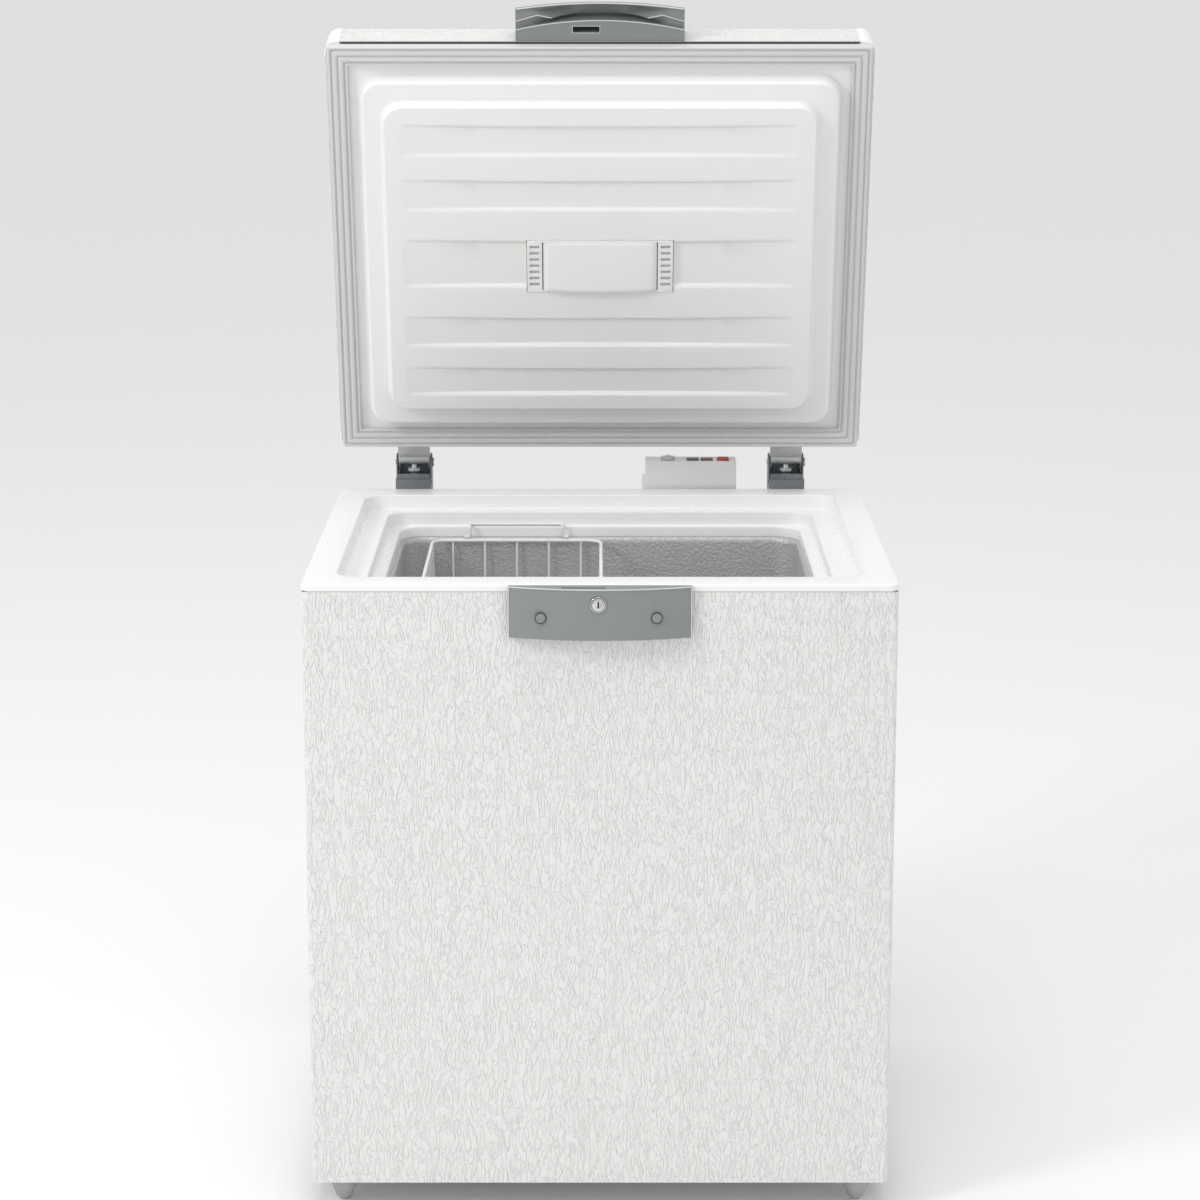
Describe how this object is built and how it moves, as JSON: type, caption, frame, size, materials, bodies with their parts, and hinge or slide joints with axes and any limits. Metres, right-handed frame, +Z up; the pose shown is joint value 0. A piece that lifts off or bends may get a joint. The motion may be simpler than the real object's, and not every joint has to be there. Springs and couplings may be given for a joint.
{
  "type": "chest freezer",
  "caption": "Small chest freezer with an open counterbalanced lid, front lock panel, wire basket and tapered feet.",
  "frame": {"origin": "on the floor under the middle of the whole object with its lid open", "axes": "+Z up, -Y towards the front with the lock, +X to the right seen from the front"},
  "size_m": [0.73, 0.6822, 1.5093],
  "materials": {
    "skin": "embossed satin",
    "moulding": "satin",
    "tub": "stucco embossed",
    "foam": "matte",
    "copper": "satin",
    "zinc": "satin",
    "lock_grey": "satin",
    "chrome": "polished",
    "gasket": "matte",
    "wire": "satin",
    "lens": "satin",
    "bulb": "polished",
    "black": "satin",
    "foot": "matte",
    "green": "gloss",
    "red": "gloss",
    "orange": "gloss"
  },
  "bodies": {
    "cabinet": {"cabinet_shell": "skin", "back_panel": "zinc", "base_tray": "zinc", "cabinet_foam": "foam", "rim_frame": "moulding", "inner_tub": "tub", "evaporator_coil": "copper", "condenser_coil": "copper", "drain_tube": "moulding", "foot_front_left": "foot", "foot_front_right": "foot", "foot_rear_left": "foot", "foot_rear_right": "foot", "lock_panel": "lock_grey", "lock_bezel": "chrome", "screw_cap_left": "lock_grey", "screw_cap_right": "lock_grey", "control_box": "moulding", "run_lamp": "green", "alarm_lamp": "red", "compressor": "black", "compressor_rail": "zinc", "terminal_cover": "black", "filter_drier": "copper", "suction_pipe": "copper", "discharge_pipe": "copper", "side_grille": "moulding", "rear_cover": "zinc", "cord_gland": "black", "hinge_bracket_left": "zinc", "hinge_pin_left": "chrome", "hinge_spring_left": "zinc", "hinge_bracket_right": "zinc", "hinge_pin_right": "chrome", "hinge_spring_right": "zinc"},
    "lid": {"lid_skin": "skin", "lid_foam": "foam", "lid_liner": "moulding", "lid_gasket": "gasket", "lid_cap_front_left": "moulding", "lid_cap_front_right": "moulding", "lid_cap_rear_left": "moulding", "lid_cap_rear_right": "moulding", "lid_handle": "lock_grey", "lamp_housing": "moulding", "lamp_lens": "lens", "lamp_bulb": "bulb", "hinge_leaf_left": "zinc", "hinge_leaf_right": "zinc"},
    "lock_barrel": {"lock_plug": "chrome", "lock_cam": "zinc", "lock_nut": "zinc"},
    "thermostat": {"thermostat_knob": "moulding"},
    "fast_freeze": {"fast_freeze_key": "orange"},
    "basket": {"basket": "wire", "basket_handle_front": "wire", "basket_handle_rear": "wire"},
    "drain_plug": {"drain_plug": "moulding"},
    "plunger_left": {"hinge_plunger_left": "zinc"},
    "plunger_right": {"hinge_plunger_right": "zinc"}
  },
  "joints": [
    {"name": "lid_hinge", "type": "hinge", "parent": "cabinet", "child": "lid", "pos_m": [0, 0.31292, 0.847], "axis": [-1, 0, 0], "range_deg": [-75, 5]},
    {"name": "lock_turn", "type": "hinge", "parent": "cabinet", "child": "lock_barrel", "pos_m": [-0.002, -0.33008, 0.796], "axis": [0, 1, 0], "range_deg": [0, 80]},
    {"name": "thermostat_turn", "type": "hinge", "parent": "cabinet", "child": "thermostat", "pos_m": [0.096, 0.30292, 0.853], "axis": [0, 0, 1], "range_deg": [-280, 0]},
    {"name": "fast_freeze_rock", "type": "hinge", "parent": "cabinet", "child": "fast_freeze", "pos_m": [0.174, 0.30192, 0.853], "axis": [1, 0, 0], "range_deg": [-5, 5]},
    {"name": "basket_slide", "type": "slide", "parent": "cabinet", "child": "basket", "axis": [1, 0, 0], "range_m": [-0.03, 0.26]},
    {"name": "drain_plug_pull", "type": "slide", "parent": "cabinet", "child": "drain_plug", "axis": [0, 0, 1], "range_m": [0, 0.05]},
    {"name": "plunger_left_slide", "type": "slide", "parent": "cabinet", "child": "plunger_left", "axis": [0, 0, 1], "range_m": [-0.0125, 0.001], "deforming": ["hinge_spring_left"]},
    {"name": "plunger_right_slide", "type": "slide", "parent": "cabinet", "child": "plunger_right", "axis": [0, 0, 1], "range_m": [-0.0125, 0.001], "deforming": ["hinge_spring_right"]}
  ],
  "couplings": [
    {"joint": "plunger_left_slide", "follows": "lid_hinge", "m_per_rad": 0.009301},
    {"joint": "plunger_right_slide", "follows": "lid_hinge", "m_per_rad": 0.009301}
  ]
}
